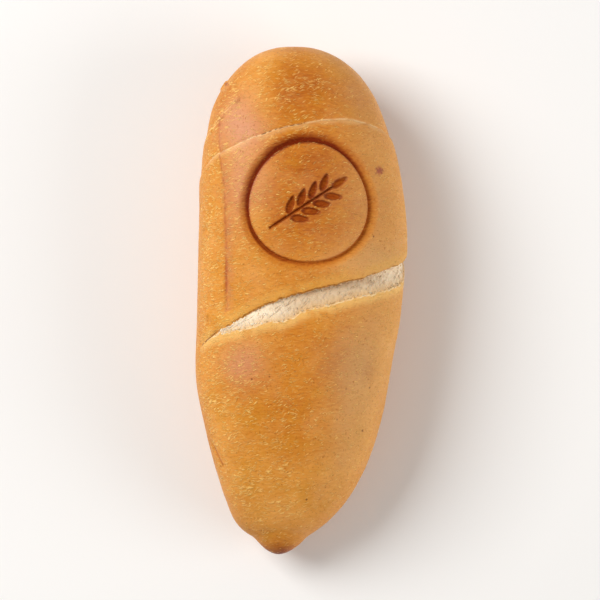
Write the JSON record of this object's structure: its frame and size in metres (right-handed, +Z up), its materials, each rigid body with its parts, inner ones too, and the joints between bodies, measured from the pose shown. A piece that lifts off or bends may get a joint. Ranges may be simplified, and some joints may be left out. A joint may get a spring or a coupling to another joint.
{
  "type": "stamped bread roll",
  "caption": "Long wound bread roll, lying face up: a round pressed mark with an ear of wheat, a diagonal split baring white crumb, wound dough seams and a small knob at the pointed end.",
  "frame": {"origin": "under the middle of the roll, on the surface that it rests on", "axes": "+Y along the roll towards its blunt end, +X across it to the right of the marked face, +Z up out of the marked face"},
  "size_m": [0.067, 0.16, 0.05],
  "materials": {
    "baked_crust": "golden brown baked bread crust, satin, with pale crumb in the split"
  },
  "bodies": {
    "root": {"bread_roll": "baked_crust"}
  },
  "joints": []
}
